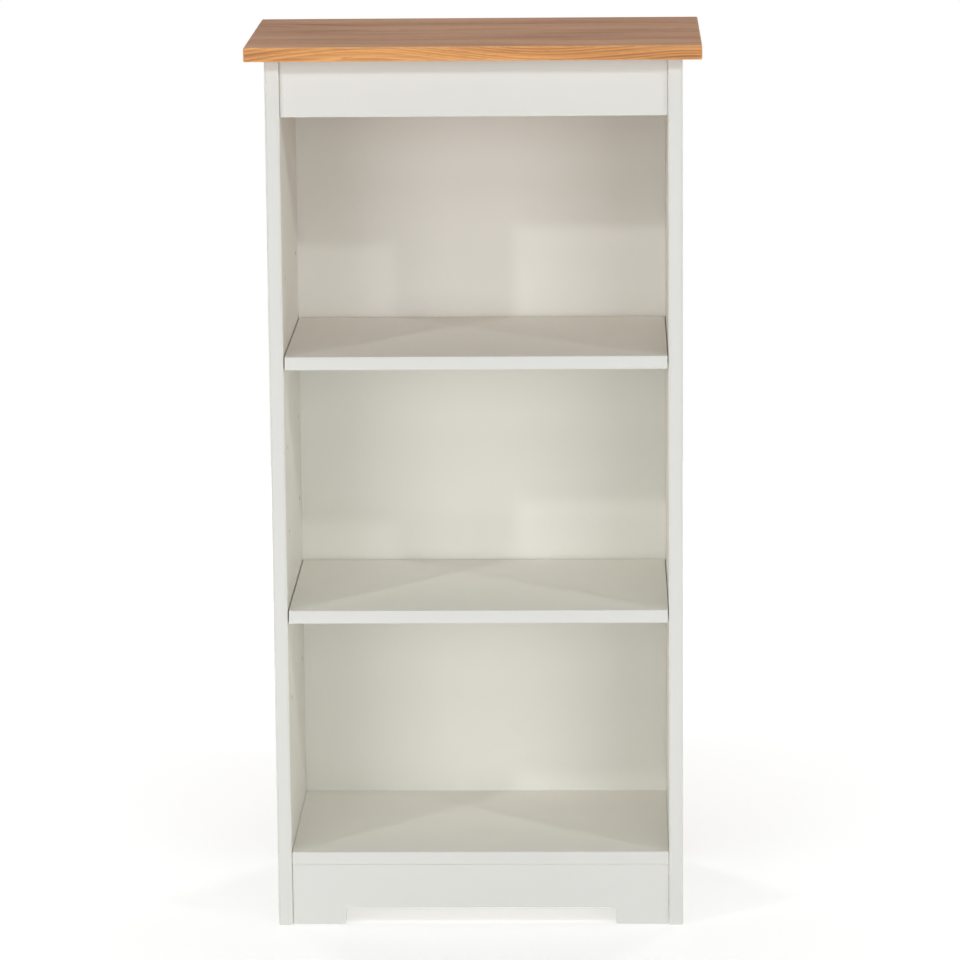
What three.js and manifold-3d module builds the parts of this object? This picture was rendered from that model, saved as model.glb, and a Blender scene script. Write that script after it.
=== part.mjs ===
// Narrow free-standing bookcase: a white board carcass under an oak top, a fixed bottom shelf, and two
// shelves that rest on pins and pull straight out of the front. The boards are joined with cam locks,
// cam bolts and dowels, and the thin back panel stands in grooves and is nailed to the bottom shelf.
//
// Millimetres. +X is right, +Y is towards the wall, +Z is up. The origin is on the floor, under the
// middle of the top board.

import * as THREE from "three";
import { mergeVertices } from "three/addons/utils/BufferGeometryUtils.js";
import Module from "manifold-3d";

const wasm = await Module();
wasm.setup();

// ---------------------------------------------------------------- driving dimensions

const OVERALL_HEIGHT = 1000;
const TOP_WIDTH = 500;
const TOP_DEPTH = 300;
const OVERHANG = 21; // of the top past the case, in front and at both sides

const BOARD = 16; // top, sides, header and plinth
const SHELF_BOARD = 15;
const BACK_BOARD = 3;

const HEADER_HEIGHT = 64;
const HEADER_SETBACK = 6; // setbacks are from the front edges of the side panels
const PLINTH_SETBACK = 4;
const BOTTOM_SHELF_SETBACK = 3;
const SHELF_SETBACK = 1;
const BOTTOM_SHELF_HEIGHT = 86; // its upper face
const PLINTH_LIFT = 1; // clear of the floor, which only the side panels touch

const TOUCH_GAP = 0.3; // between pieces that meet
const BUTT_GAP = 0.4; // at each end of a fixed rail
const SHELF_END_GAP = 1.2; // at each end of a loose shelf
const SHELF_REAR_GAP = 2;

// Eased arrises
const PANEL_ROUND = 3;
const TOP_ROUND = 1.5;
const RAIL_ROUND = 2;
const SHELF_ROUND = 1.2;
const CUT_EDGE_ROUND = 0.8; // edges that face the wall
const ROUND_SEGMENTS = 4; // flats in each quarter turn

// Shelf-pin drilling: two columns of blind holes in each side panel, three holes for each loose shelf
const PIN_HOLE_DIAMETER = 5;
const PIN_HOLE_DEPTH = 10;
const PIN_HOLE_INSETS = { front: 50, rear: 43 }; // from the edges of the side panel
const PIN_ROW_PITCH = 96;
const PIN_ROW_LOWEST = 255;
const PIN_ROWS = 6;
const LOWER_SHELF_ROW = 1;
const UPPER_SHELF_ROW = 4;

// Cut-out that leaves the plinth standing on two feet
const ARCH_WIDTH = 306;
const ARCH_HEIGHT = 20.5;
const ARCH_CORNER_RADIUS = 5;
const ARCH_TOE_RADIUS = 2; // at the foot of each side of the cut-out

// Back panel in its grooves
const BACK_FACE_INSET = 8; // from the rear edge of the case to the back panel's front face
const GROOVE_DEPTH = 6;
const BACK_PANEL_FOOT = 60;
const NAIL_COUNT = 4;
const NAIL_SPACING = 120;
const NAIL_LENGTH = 20;
const NAIL_SHANK = 1.6;
const NAIL_BORE = NAIL_SHANK + 2 * TOUCH_GAP;
const NAIL_SIDES = 8;

// Knock-down fittings
const CAM_DIAMETER = 15;
const CAM_POCKET_DEPTH = 12.5;
const CAM_SETBACK = 34; // cam centre to the end of its board
const CAM_INSET = 50; // from the front and the rear edge of the case
const BOLT_SHANK_BORE = 8;
const BOLT_THREAD_BORE = 6;
const BOLT_THREAD_DEPTH = 11.5;
const DOWEL_DIAMETER = 8;
const DOWEL_LENGTH = 30;
const DOWEL_SHORT_END = 10;
const HEADER_CAM_DROP = 48; // below the underside of the top
const HEADER_DOWEL_DROP = 16;
const PLINTH_CAM_HEIGHT = 52;
const PLINTH_DOWEL_HEIGHT = 24;

const BORE_SIDES = 10;
const POCKET_SIDES = 16;
const BEYOND = 1; // how far a cutter starts outside the face that it cuts

// ---------------------------------------------------------------- derived places

const CASE_REAR = TOP_DEPTH / 2;
const CASE_FRONT = OVERHANG - TOP_DEPTH / 2;
const OUTER_HALF = TOP_WIDTH / 2 - OVERHANG;
const INNER_HALF = OUTER_HALF - BOARD;
const PANEL_MID = OUTER_HALF - BOARD / 2;
const TOP_UNDERSIDE = OVERALL_HEIGHT - BOARD;
const PANEL_TOP = TOP_UNDERSIDE - TOUCH_GAP;
const BOTTOM_SHELF_MID = BOTTOM_SHELF_HEIGHT - SHELF_BOARD / 2;
const PLINTH_TOP = BOTTOM_SHELF_HEIGHT - SHELF_BOARD - TOUCH_GAP;
const BACK_FACE = CASE_REAR - BACK_FACE_INSET;
const HEADER_MID = CASE_FRONT + HEADER_SETBACK + BOARD / 2;
const PLINTH_MID = CASE_FRONT + PLINTH_SETBACK + BOARD / 2;
const RAIL_HALF = INNER_HALF - BUTT_GAP;
const PIN_COLUMNS = { front: CASE_FRONT + PIN_HOLE_INSETS.front, rear: CASE_REAR - PIN_HOLE_INSETS.rear };
const CAM_PLACES = { front: CASE_FRONT + CAM_INSET, rear: CASE_REAR - CAM_INSET };
const DOWEL_PLACE = (CASE_FRONT + CASE_REAR) / 2;
const SIDES = { left: -1, right: 1 };

const pinRowHeight = (row) => PIN_ROW_LOWEST + row * PIN_ROW_PITCH;
const vector = (x, y, z) => new THREE.Vector3(x, y, z);
const AXES = { x: vector(1, 0, 0), y: vector(0, 1, 0), z: vector(0, 0, 1) };
const UP = AXES.z;
const DOWN = vector(0, 0, -1);
const BACKWARD = AXES.y;
const FORWARD = vector(0, -1, 0);
const inwardFrom = (side) => vector(-side, 0, 0);

// ---------------------------------------------------------------- materials

const finish = (color, roughness, metalness) =>
  new THREE.MeshStandardMaterial({ color, roughness, metalness });

const whiteFoil = () => finish(0xe4e2da, 0.45, 0);
const oakVeneer = () => finish(0xcf9257, 0.5, 0);
const whiteHardboard = () => finish(0xd9d4c8, 0.6, 0);
const zincAlloy = () => finish(0x9b9b98, 0.4, 1);
const platedSteel = () => finish(0xb9b7ae, 0.35, 1);
const beech = () => finish(0xd8b988, 0.7, 0);
const whitePlastic = () => finish(0xf1f0ea, 0.4, 0);

// ---------------------------------------------------------------- solids and booleans

// Turns a closed three.js geometry into a solid that can be cut and joined.
function toSolid(geometry) {
  const bare = geometry.clone();
  bare.deleteAttribute("normal");
  bare.deleteAttribute("uv");
  const merged = mergeVertices(bare);
  const corners = merged.index.array;
  const kept = [];
  for (let i = 0; i < corners.length; i += 3) {
    const [a, b, c] = [corners[i], corners[i + 1], corners[i + 2]];
    if (a !== b && b !== c && c !== a) kept.push(a, b, c);
  }
  return new wasm.Manifold(
    new wasm.Mesh({
      numProp: 3,
      vertProperties: new Float32Array(merged.attributes.position.array),
      triVerts: new Uint32Array(kept),
    }),
  );
}

// Turns a solid back into a three.js geometry.
function toGeometry(solid) {
  const mesh = solid.getMesh();
  const geometry = new THREE.BufferGeometry();
  geometry.setAttribute("position", new THREE.BufferAttribute(new Float32Array(mesh.vertProperties), 3));
  geometry.setIndex(new THREE.BufferAttribute(new Uint32Array(mesh.triVerts), 1));
  const faceted = geometry.toNonIndexed();
  faceted.computeVertexNormals();
  return faceted;
}

const cutAway = (solid, cutters) => cutters.reduce((rest, cutter) => rest.subtract(cutter), solid);
const joinAll = (solids) => solids.reduce((whole, piece) => whole.add(piece));

// A solid block between two opposite corners.
function block(low, high) {
  const size = high.clone().sub(low);
  const middle = low.clone().add(high).multiplyScalar(0.5);
  const geometry = new THREE.BoxGeometry(size.x, size.y, size.z);
  return toSolid(geometry.translate(middle.x, middle.y, middle.z));
}

// A long straight solid along one axis between two corners of its board. radii rounds the four long
// edges, anticlockwise from the lowest corner of the section: y-z for x, z-x for y, and x-y for z.
const SECTIONS = { x: ["y", "z"], y: ["z", "x"], z: ["x", "y"] };

function prism(axis, low, high, radii) {
  const [u, v] = SECTIONS[axis];
  const section = new THREE.Shape();
  const corners = [
    [low[u], low[v], 1, 1],
    [high[u], low[v], -1, 1],
    [high[u], high[v], -1, -1],
    [low[u], high[v], 1, -1],
  ];
  corners.forEach(([cornerU, cornerV, signU, signV], i) => {
    const radius = radii[i];
    const start = Math.PI + (i * Math.PI) / 2;
    const draw = i === 0 ? "moveTo" : "lineTo";
    if (radius === 0) {
      section[draw](cornerU, cornerV);
    } else {
      const [middleU, middleV] = [cornerU + signU * radius, cornerV + signV * radius];
      section.absarc(middleU, middleV, radius, start, start + Math.PI / 2, false);
    }
  });
  const options = { depth: high[axis] - low[axis], bevelEnabled: false, curveSegments: ROUND_SEGMENTS };
  const geometry = new THREE.ExtrudeGeometry(section, options);
  geometry.applyMatrix4(new THREE.Matrix4().makeBasis(AXES[u], AXES[v], AXES[axis]));
  const start = AXES[axis].clone().multiplyScalar(low[axis]);
  return toSolid(geometry.translate(start.x, start.y, start.z));
}

// A board between two corners, with the long edges along each axis rounded as asked.
function roundedBlock(low, high, rounding) {
  const prisms = Object.entries(rounding).map(([axis, radii]) => prism(axis, low, high, radii));
  return prisms.reduce((common, next) => common.intersect(next));
}

// A round cutter that starts just outside a face at mouth and goes depth into it. Its flats lie on the
// stated diameter, so a round piece inside it keeps its clearance all round.
function bore(mouth, direction, depth, diameter, sides = BORE_SIDES) {
  const radius = diameter / 2 / Math.cos(Math.PI / sides);
  const length = depth + BEYOND;
  const geometry = new THREE.CylinderGeometry(radius, radius, length, sides);
  geometry.applyQuaternion(new THREE.Quaternion().setFromUnitVectors(BACKWARD, direction));
  const middle = mouth.clone().addScaledVector(direction, (depth - BEYOND) / 2);
  return toSolid(geometry.translate(middle.x, middle.y, middle.z));
}

// ---------------------------------------------------------------- meshes

const bookcase = new THREE.Group();

function place(name, geometry, material, position, quaternion) {
  const mesh = new THREE.Mesh(geometry, material);
  mesh.name = name;
  mesh.position.copy(position);
  if (quaternion) mesh.quaternion.copy(quaternion);
  bookcase.add(mesh);
}

// A board between two corners, with its bores and grooves cut out.
function placeBoard(name, low, high, rounding, material, cutters = []) {
  const middle = low.clone().add(high).multiplyScalar(0.5);
  const geometry = toGeometry(cutAway(roundedBlock(low, high, rounding), cutters));
  place(name, geometry.translate(-middle.x, -middle.y, -middle.z), material, middle);
}

// How the long edges of a rail or shelf are rounded: front lower, rear lower, rear upper, front upper.
const railRounding = (...radii) => ({ x: radii });

// A turned piece about its own +Y: points are [radius, height] pairs that start and end on the axis.
function turned(points, sides) {
  const outline = points.map(([radius, height]) => new THREE.Vector2(radius, height));
  return toGeometry(toSolid(new THREE.LatheGeometry(outline, sides)));
}

// ---------------------------------------------------------------- where the fittings go

// A cam joint pulls the end of one board against the face of another. foot is where the bolt leaves the
// face that it is screwed into, shank the way that it points, face the way that the cam's slot looks,
// and depth the distance from the bolt's axis to the board's face on that side.
function camJoints() {
  const joints = [];
  for (const [hand, side] of Object.entries(SIDES)) {
    const inward = inwardFrom(side);
    const railEnd = side * INNER_HALF;
    for (const [end, y] of Object.entries(CAM_PLACES)) {
      const overPanel = vector(side * PANEL_MID, y, TOP_UNDERSIDE);
      const atShelf = vector(railEnd, y, BOTTOM_SHELF_MID);
      joints.push(camJoint(`top_${end}_${hand}`, "top", hand, overPanel, DOWN, inward, BOARD / 2));
      joints.push(camJoint(`bottom_${end}_${hand}`, "bottom", hand, atShelf, inward, DOWN, SHELF_BOARD / 2));
    }
    const atHeader = vector(railEnd, HEADER_MID, TOP_UNDERSIDE - HEADER_CAM_DROP);
    const atPlinth = vector(railEnd, PLINTH_MID, PLINTH_CAM_HEIGHT);
    joints.push(camJoint(`header_${hand}`, "header", hand, atHeader, inward, BACKWARD, BOARD / 2));
    joints.push(camJoint(`plinth_${hand}`, "plinth", hand, atPlinth, inward, BACKWARD, BOARD / 2));
  }
  return joints;
}

function camJoint(label, where, hand, foot, shank, face, depth) {
  const cam = foot.clone().addScaledVector(shank, TOUCH_GAP + CAM_SETBACK);
  return { label, where, hand, foot, shank, face, depth, cam };
}

// A dowel joint: foot is on the face of the board that holds the short end, shank points to the other.
function dowelJoints() {
  const joints = [];
  for (const [hand, side] of Object.entries(SIDES)) {
    const inward = inwardFrom(side);
    const railEnd = side * INNER_HALF;
    const feet = {
      top: vector(side * PANEL_MID, DOWEL_PLACE, TOP_UNDERSIDE),
      bottom: vector(railEnd, DOWEL_PLACE, BOTTOM_SHELF_MID),
      header: vector(railEnd, HEADER_MID, TOP_UNDERSIDE - HEADER_DOWEL_DROP),
      plinth: vector(railEnd, PLINTH_MID, PLINTH_DOWEL_HEIGHT),
    };
    for (const [where, foot] of Object.entries(feet)) {
      joints.push({ label: `${where}_${hand}`, where, hand, foot, shank: where === "top" ? DOWN : inward });
    }
  }
  return joints;
}

const CAMS = camJoints();
const DOWELS = dowelJoints();

// Holes in the board that the cam bolts are screwed into and that holds the dowels' short ends.
function anchorBores(cams, dowels) {
  const threads = cams.map(({ foot, shank }) =>
    bore(foot, shank.clone().negate(), BOLT_THREAD_DEPTH, BOLT_THREAD_BORE),
  );
  const sockets = dowels.map(({ foot, shank }) =>
    bore(foot, shank.clone().negate(), DOWEL_SHORT_END + TOUCH_GAP, DOWEL_DIAMETER),
  );
  return [...threads, ...sockets];
}

// Holes in the board that carries the cams: a bore along the bolt, a round pocket for the cam, and
// the dowels' long sockets.
function camBoardBores(cams, dowels) {
  const cutters = [];
  for (const { foot, shank, face, depth, cam } of cams) {
    const mouth = cam.clone().addScaledVector(face, depth);
    cutters.push(bore(foot, shank, TOUCH_GAP + CAM_SETBACK, BOLT_SHANK_BORE));
    cutters.push(bore(mouth, face.clone().negate(), CAM_POCKET_DEPTH, CAM_DIAMETER, POCKET_SIDES));
  }
  for (const { foot, shank } of dowels) {
    cutters.push(bore(foot, shank, DOWEL_LENGTH - DOWEL_SHORT_END + TOUCH_GAP, DOWEL_DIAMETER));
  }
  return cutters;
}

const isAt =
  (where, hand) =>
  (joint) =>
    joint.where === where && (hand === undefined || joint.hand === hand);

// ---------------------------------------------------------------- boards

const grooveFront = BACK_FACE - TOUCH_GAP;
const grooveRear = BACK_FACE + BACK_BOARD + TOUCH_GAP;

function makeTopBoard() {
  const grooveHalf = INNER_HALF + GROOVE_DEPTH;
  const groove = block(
    vector(-grooveHalf, grooveFront, TOP_UNDERSIDE - BEYOND),
    vector(grooveHalf, grooveRear, TOP_UNDERSIDE + GROOVE_DEPTH),
  );
  const low = vector(-TOP_WIDTH / 2, -TOP_DEPTH / 2, TOP_UNDERSIDE);
  const high = vector(TOP_WIDTH / 2, TOP_DEPTH / 2, OVERALL_HEIGHT);
  const bores = anchorBores(CAMS.filter(isAt("top")), DOWELS.filter(isAt("top")));
  const round = [TOP_ROUND, TOP_ROUND, TOP_ROUND, TOP_ROUND];
  placeBoard("top_board", low, high, { x: round, y: round, z: round }, oakVeneer(), [...bores, groove]);
}

function pinHoles(side) {
  const outward = vector(side, 0, 0);
  const holes = [];
  for (const y of Object.values(PIN_COLUMNS)) {
    for (let row = 0; row < PIN_ROWS; row += 1) {
      const mouth = vector(side * INNER_HALF, y, pinRowHeight(row));
      holes.push(bore(mouth, outward, PIN_HOLE_DEPTH, PIN_HOLE_DIAMETER));
    }
  }
  return holes;
}

// The full-height groove for the back panel in a side panel's inner face.
function panelGroove(side) {
  const mouth = side * (INNER_HALF - BEYOND);
  const floor = side * (INNER_HALF + GROOVE_DEPTH);
  return block(
    vector(Math.min(mouth, floor), grooveFront, -BEYOND),
    vector(Math.max(mouth, floor), grooveRear, PANEL_TOP + BEYOND),
  );
}

function makeSidePanel(hand) {
  const side = SIDES[hand];
  const low = vector(Math.min(side * INNER_HALF, side * OUTER_HALF), CASE_FRONT, 0);
  const high = vector(low.x + BOARD, CASE_REAR, PANEL_TOP);
  const heldAt = ["bottom", "header", "plinth"];
  const anchored = (joint) => heldAt.includes(joint.where) && joint.hand === hand;
  const rounding = {
    x: [PANEL_ROUND, CUT_EDGE_ROUND, 0, 0],
    y: [PANEL_ROUND, 0, 0, PANEL_ROUND],
    z: [PANEL_ROUND, PANEL_ROUND, CUT_EDGE_ROUND, CUT_EDGE_ROUND],
  };
  placeBoard(`${hand}_side_panel`, low, high, rounding, whiteFoil(), [
    ...pinHoles(side),
    ...anchorBores(CAMS.filter(anchored), DOWELS.filter(anchored)),
    ...camBoardBores(CAMS.filter(isAt("top", hand)), DOWELS.filter(isAt("top", hand))),
    panelGroove(side),
  ]);
}

function makeHeader() {
  const low = vector(-RAIL_HALF, HEADER_MID - BOARD / 2, TOP_UNDERSIDE - HEADER_HEIGHT);
  const high = vector(RAIL_HALF, HEADER_MID + BOARD / 2, PANEL_TOP);
  const bores = camBoardBores(CAMS.filter(isAt("header")), DOWELS.filter(isAt("header")));
  const rounding = railRounding(RAIL_ROUND, CUT_EDGE_ROUND, 0, 0);
  placeBoard("header_rail", low, high, rounding, whiteFoil(), bores);
}

// The opening under the plinth, with its upper corners and its two toes rounded.
function archCutter() {
  const half = ARCH_WIDTH / 2;
  const radius = ARCH_CORNER_RADIUS;
  const toe = ARCH_TOE_RADIUS;
  const outline = new THREE.Shape();
  outline.moveTo(-half - toe, PLINTH_LIFT - BEYOND);
  outline.lineTo(half + toe, PLINTH_LIFT - BEYOND);
  outline.absarc(half + toe, PLINTH_LIFT + toe, toe, 1.5 * Math.PI, Math.PI, true);
  outline.absarc(half - radius, ARCH_HEIGHT - radius, radius, 0, Math.PI / 2, false);
  outline.absarc(radius - half, ARCH_HEIGHT - radius, radius, Math.PI / 2, Math.PI, false);
  outline.absarc(-half - toe, PLINTH_LIFT + toe, toe, 0, -Math.PI / 2, true);
  const depth = BOARD + 2 * BEYOND;
  const geometry = new THREE.ExtrudeGeometry(outline, { depth, bevelEnabled: false, curveSegments: 5 });
  geometry.rotateX(Math.PI / 2);
  return toSolid(geometry.translate(0, PLINTH_MID + depth / 2, 0));
}

function makePlinth() {
  const low = vector(-RAIL_HALF, PLINTH_MID - BOARD / 2, PLINTH_LIFT);
  const high = vector(RAIL_HALF, PLINTH_MID + BOARD / 2, PLINTH_TOP);
  const bores = camBoardBores(CAMS.filter(isAt("plinth")), DOWELS.filter(isAt("plinth")));
  const rounding = railRounding(SHELF_ROUND, CUT_EDGE_ROUND, 0, CUT_EDGE_ROUND);
  placeBoard("plinth_rail", low, high, rounding, whiteFoil(), [...bores, archCutter()]);
}

const NAIL_PLACES = Array.from({ length: NAIL_COUNT }, (_, i) => (i - (NAIL_COUNT - 1) / 2) * NAIL_SPACING);

function makeBottomShelf() {
  const rear = BACK_FACE - TOUCH_GAP;
  const low = vector(-RAIL_HALF, CASE_FRONT + BOTTOM_SHELF_SETBACK, BOTTOM_SHELF_HEIGHT - SHELF_BOARD);
  const high = vector(RAIL_HALF, rear, BOTTOM_SHELF_HEIGHT);
  const nailBores = NAIL_PLACES.map((x) =>
    bore(vector(x, rear, BOTTOM_SHELF_MID), FORWARD, NAIL_LENGTH - BACK_BOARD, NAIL_BORE, NAIL_SIDES),
  );
  const bores = camBoardBores(CAMS.filter(isAt("bottom")), DOWELS.filter(isAt("bottom")));
  const rounding = railRounding(SHELF_ROUND, 0, 0, SHELF_ROUND);
  placeBoard("bottom_shelf", low, high, rounding, whiteFoil(), [...bores, ...nailBores]);
}

function makeLooseShelf(name, row) {
  const half = INNER_HALF - SHELF_END_GAP;
  const underside = pinRowHeight(row);
  const low = vector(-half, CASE_FRONT + SHELF_SETBACK, underside);
  const high = vector(half, BACK_FACE - SHELF_REAR_GAP, underside + SHELF_BOARD);
  const rounding = railRounding(SHELF_ROUND, CUT_EDGE_ROUND, CUT_EDGE_ROUND, SHELF_ROUND);
  placeBoard(name, low, high, rounding, whiteFoil());
}

function makeBackPanel() {
  const half = INNER_HALF + GROOVE_DEPTH - TOUCH_GAP;
  const low = vector(-half, BACK_FACE, BACK_PANEL_FOOT);
  const high = vector(half, BACK_FACE + BACK_BOARD, TOP_UNDERSIDE + GROOVE_DEPTH - TOUCH_GAP);
  const nailBores = NAIL_PLACES.map((x) =>
    bore(vector(x, BACK_FACE, BOTTOM_SHELF_MID), BACKWARD, BACK_BOARD + BEYOND, NAIL_BORE, NAIL_SIDES),
  );
  placeBoard("back_panel", low, high, railRounding(0, 0, 0, 0), whiteHardboard(), nailBores);
}

// ---------------------------------------------------------------- shelf pins

const PIN_RADIUS = PIN_HOLE_DIAMETER / 2 - TOUCH_GAP;
const PIN_STEM_IN_HOLE = 9;
const PIN_STEM_OUTSIDE = 0.8;
const PIN_HALF_WIDTH = 5;
const PIN_TONGUE_LENGTH = 11;
const PIN_TONGUE_THICKNESS = 2.5;
const PIN_PLATE_THICKNESS = 1.5;
const PIN_PLATE_DROP = 7;
const PIN_RIB_THICKNESS = 2;
const PIN_TIP_SEGMENTS = 8;

// The round-ended tongue that the shelf rests on, seen from above, running along +X.
function pinTongue() {
  const outline = new THREE.Shape();
  const straight = PIN_TONGUE_LENGTH - PIN_HALF_WIDTH;
  outline.moveTo(TOUCH_GAP, -PIN_HALF_WIDTH);
  outline.lineTo(straight, -PIN_HALF_WIDTH);
  outline.absarc(straight, 0, PIN_HALF_WIDTH, -Math.PI / 2, Math.PI / 2, false);
  outline.lineTo(TOUCH_GAP, PIN_HALF_WIDTH);
  const options = { depth: PIN_TONGUE_THICKNESS, bevelEnabled: false, curveSegments: PIN_TIP_SEGMENTS };
  const geometry = new THREE.ExtrudeGeometry(outline, options);
  return toSolid(geometry.translate(0, 0, -TOUCH_GAP - PIN_TONGUE_THICKNESS));
}

// The gusset under the tongue.
function pinRib() {
  const outline = new THREE.Shape();
  outline.moveTo(PIN_PLATE_THICKNESS, -PIN_PLATE_DROP);
  outline.lineTo(PIN_TONGUE_LENGTH - PIN_RIB_THICKNESS, -PIN_TONGUE_THICKNESS);
  outline.lineTo(PIN_PLATE_THICKNESS, -PIN_TONGUE_THICKNESS);
  const geometry = new THREE.ExtrudeGeometry(outline, { depth: PIN_RIB_THICKNESS, bevelEnabled: false });
  geometry.rotateX(Math.PI / 2);
  return toSolid(geometry.translate(0, PIN_RIB_THICKNESS / 2, 0));
}

// One pin in its own frame: the stem runs back along -X into the hole, the tongue forward along +X,
// and the hole's mouth is the origin. The tongue's flat top is just under the hole's centre line.
function pinGeometry() {
  const stemEnd = vector(PIN_STEM_OUTSIDE, 0, 0);
  const stemLength = PIN_STEM_IN_HOLE + PIN_STEM_OUTSIDE;
  const stem = new THREE.CylinderGeometry(PIN_RADIUS, PIN_RADIUS, stemLength, BORE_SIDES);
  stem.rotateZ(Math.PI / 2).translate(stemEnd.x - stemLength / 2, 0, 0);
  const plate = block(
    vector(TOUCH_GAP, -PIN_HALF_WIDTH, -PIN_PLATE_DROP),
    vector(TOUCH_GAP + PIN_PLATE_THICKNESS, PIN_HALF_WIDTH, -TOUCH_GAP),
  );
  return toGeometry(joinAll([toSolid(stem), plate, pinTongue(), pinRib()]));
}

function makeShelfPins(level, row) {
  const geometry = pinGeometry();
  for (const [hand, side] of Object.entries(SIDES)) {
    const facing = new THREE.Quaternion().setFromAxisAngle(UP, side > 0 ? Math.PI : 0);
    for (const [end, y] of Object.entries(PIN_COLUMNS)) {
      const mouth = vector(side * INNER_HALF, y, pinRowHeight(row));
      place(`${level}_shelf_pin_${end}_${hand}`, geometry.clone(), whitePlastic(), mouth, facing);
    }
  }
}

// ---------------------------------------------------------------- knock-down fittings

// A cam lock in its own frame: the bolt comes in along +X at the origin's height, and the driver's
// cross looks along +Z. depth is from the bolt's axis up to the board's face.
const CAM_HEIGHT = 12;
const CAM_CHAMBER_RADIUS = 4.5;
const CAM_SLOT_WIDTH = 5;
const CAM_ENTRY_WIDTH = 8;
const CAM_CROSS_LENGTH = 9;
const CAM_CROSS_WIDTH = 1.8;
const CAM_CROSS_DEPTH = 2.2;
const CAM_SWEEP = (100 * Math.PI) / 180; // from the way in for the bolt's head to the locked position

function camSweepCutter() {
  const reach = CAM_DIAMETER;
  const half = CAM_SLOT_WIDTH / 2;
  const outline = new THREE.Shape();
  outline.moveTo(0, half);
  outline.lineTo(reach, half);
  outline.absarc(0, 0, reach, 0, -CAM_SWEEP, true);
  outline.lineTo(-half, 0);
  const options = { depth: CAM_SLOT_WIDTH, bevelEnabled: false, curveSegments: ROUND_SEGMENTS };
  return toSolid(new THREE.ExtrudeGeometry(outline, options).translate(0, 0, -half));
}

function camEntryCutter() {
  const half = CAM_ENTRY_WIDTH / 2;
  const geometry = new THREE.BoxGeometry(CAM_DIAMETER, CAM_ENTRY_WIDTH, CAM_ENTRY_WIDTH);
  geometry.translate(CAM_DIAMETER / 2, 0, 0).rotateZ(-CAM_SWEEP);
  const floor = block(vector(-half, -half, -CAM_DIAMETER), vector(half, half, 0));
  return [toSolid(geometry), floor];
}

function camGeometry(depth) {
  const radius = CAM_DIAMETER / 2 - TOUCH_GAP;
  const bottom = depth - CAM_HEIGHT;
  const body = new THREE.CylinderGeometry(radius, radius, CAM_HEIGHT, POCKET_SIDES);
  body.rotateX(Math.PI / 2).translate(0, 0, bottom + CAM_HEIGHT / 2);
  const chamberRadii = [CAM_CHAMBER_RADIUS, CAM_CHAMBER_RADIUS];
  const chamber = new THREE.CylinderGeometry(...chamberRadii, CAM_ENTRY_WIDTH, BORE_SIDES);
  chamber.rotateX(Math.PI / 2);
  const crossLow = depth - CAM_CROSS_DEPTH;
  const crossHalf = CAM_CROSS_LENGTH / 2;
  const barHalf = CAM_CROSS_WIDTH / 2;
  const crossBars = [
    block(vector(-crossHalf, -barHalf, crossLow), vector(crossHalf, barHalf, depth + BEYOND)),
    block(vector(-barHalf, -crossHalf, crossLow), vector(barHalf, crossHalf, depth + BEYOND)),
  ];
  const cutters = [toSolid(chamber), camSweepCutter(), ...camEntryCutter(), ...crossBars];
  return toGeometry(cutAway(toSolid(body), cutters));
}

// A cam bolt about its own +Y: below zero it is screwed into its board, above zero are the collar,
// the shank, the thin neck and the head that the cam pulls on.
const BOLT_SIDES = 8;
const BOLT_SHANK_RADIUS = 2.6;
const BOLT_COLLAR_HEIGHT = 1.5;
const BOLT_NECK_RADIUS = 1.9;
const BOLT_NECK_LENGTH = 6;
const BOLT_HEAD_RADIUS = 3.3;
const BOLT_HEAD_ABOVE = 2; // past the cam's axis
const BOLT_HEAD_BELOW = 1.6;
const BOLT_BEVEL = 1;

function boltGeometry() {
  const thread = BOLT_THREAD_BORE / 2 - TOUCH_GAP;
  const tip = TOUCH_GAP - BOLT_THREAD_DEPTH;
  const collar = BOLT_SHANK_BORE / 2 - TOUCH_GAP;
  const collarTop = TOUCH_GAP + BOLT_COLLAR_HEIGHT;
  const camAxis = TOUCH_GAP + CAM_SETBACK;
  const neckTop = camAxis - BOLT_HEAD_BELOW;
  const neckFoot = neckTop - BOLT_NECK_LENGTH;
  const headTop = camAxis + BOLT_HEAD_ABOVE;
  const outline = [
    [0, tip],
    [thread - BOLT_BEVEL, tip],
    [thread, tip + BOLT_BEVEL],
    [thread, TOUCH_GAP],
    [collar, TOUCH_GAP],
    [collar, collarTop],
    [BOLT_SHANK_RADIUS, collarTop + BOLT_BEVEL],
    [BOLT_SHANK_RADIUS, neckFoot - BOLT_BEVEL],
    [BOLT_NECK_RADIUS, neckFoot],
    [BOLT_NECK_RADIUS, neckTop],
    [BOLT_HEAD_RADIUS, neckTop + BOLT_BEVEL],
    [BOLT_HEAD_RADIUS, headTop - BOLT_BEVEL],
    [BOLT_HEAD_RADIUS - BOLT_BEVEL, headTop],
    [0, headTop],
  ];
  return turned(outline, BOLT_SIDES);
}

const DOWEL_BEVEL = 1;

function dowelGeometry() {
  const radius = DOWEL_DIAMETER / 2 - TOUCH_GAP;
  const low = -DOWEL_SHORT_END;
  const high = low + DOWEL_LENGTH;
  const outline = [
    [0, low],
    [radius - DOWEL_BEVEL, low],
    [radius, low + DOWEL_BEVEL],
    [radius, high - DOWEL_BEVEL],
    [radius - DOWEL_BEVEL, high],
    [0, high],
  ];
  return turned(outline, BORE_SIDES);
}

// A nail about its own +Y, pointing along -Y, with its head just clear of the board at zero.
const NAIL_HEAD_RADIUS = 2.6;
const NAIL_HEAD_HEIGHT = 1;
const NAIL_HEAD_BEVEL = 0.3;
const NAIL_POINT = 2;

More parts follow.
